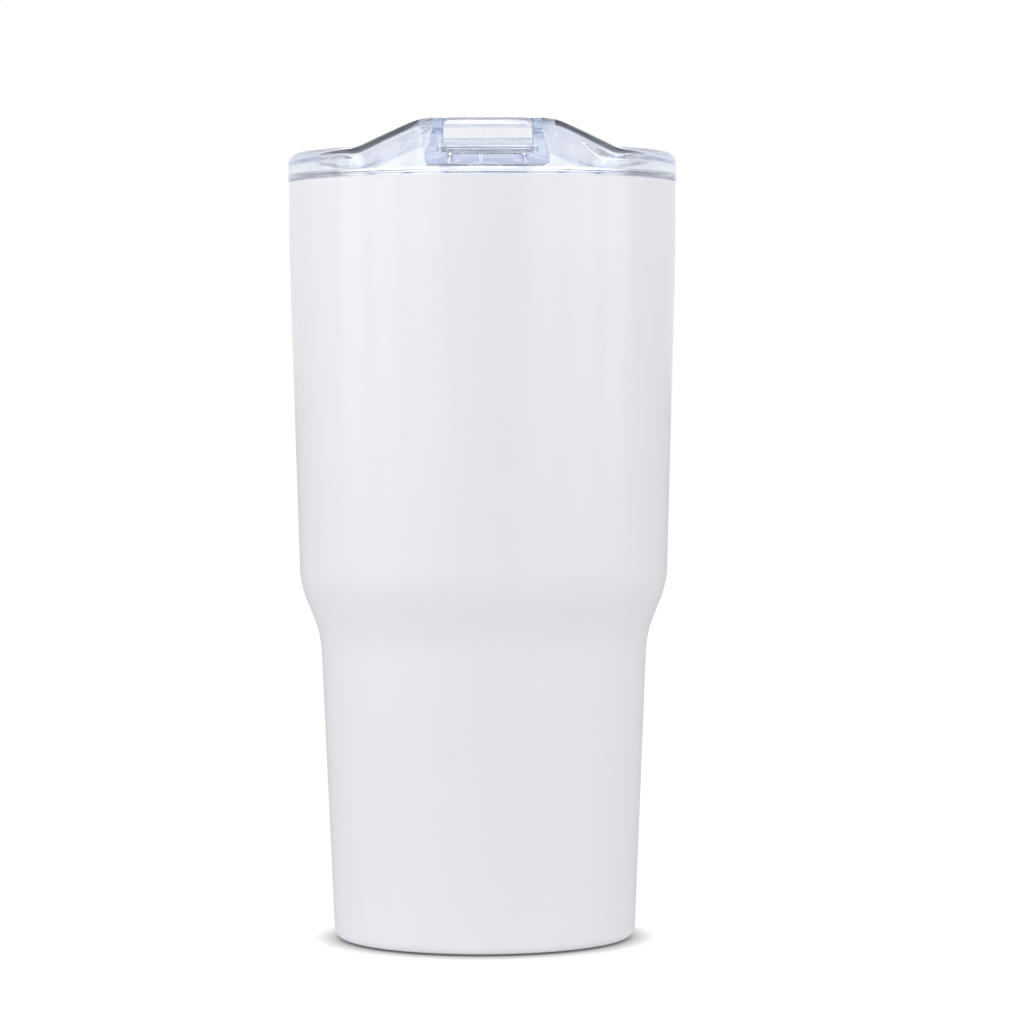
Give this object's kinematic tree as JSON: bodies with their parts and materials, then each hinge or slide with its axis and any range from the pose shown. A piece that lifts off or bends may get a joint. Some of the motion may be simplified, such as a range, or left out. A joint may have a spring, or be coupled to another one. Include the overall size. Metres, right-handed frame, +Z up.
{
  "type": "insulated tumbler",
  "caption": "Double-wall vacuum insulated steel tumbler with a stepped, coated body and a clear press-in lid with a thumb slider over the drink slot.",
  "frame": {"origin": "on the tumbler's axis, in the plane it stands on", "axes": "+Z up along the axis; -Y towards the drinker, where the drink slot is; +X to the right seen from the drinker's side"},
  "size_m": [0.0884, 0.0884, 0.185],
  "materials": {
    "white_coat": "satin powder coat",
    "liner_steel": "fine circular brushing, polished lip",
    "copper": "bright foil",
    "base_steel": "pressed, unpolished",
    "cover_steel": "fine circular brushing",
    "seal_glass": "fused",
    "getter": "pressed powder",
    "pad_silicone": "matte",
    "clear_plastic": "clear, polished",
    "clear_silicone": "translucent"
  },
  "bodies": {
    "cup": {"outer_shell": "white_coat", "inner_liner": "liner_steel", "inner_bottom": "liner_steel", "copper_foil": "copper", "vacuum_base": "base_steel", "port_seal": "seal_glass", "getter_holder": "base_steel", "getter_pill": "getter", "base_cover": "cover_steel", "base_pad": "pad_silicone"},
    "lid": {"lid_body": "clear_plastic", "lid_gasket": "clear_silicone"},
    "slider": {"slider": "clear_plastic", "slider_seal": "clear_silicone"}
  },
  "joints": [
    {"name": "lid_lift", "type": "slide", "parent": "cup", "child": "lid", "axis": [0, 0, 1], "range_m": [0, 0.045]},
    {"name": "slider_slide", "type": "slide", "parent": "lid", "child": "slider", "axis": [0, 1, 0], "range_m": [0, 0.014]}
  ]
}
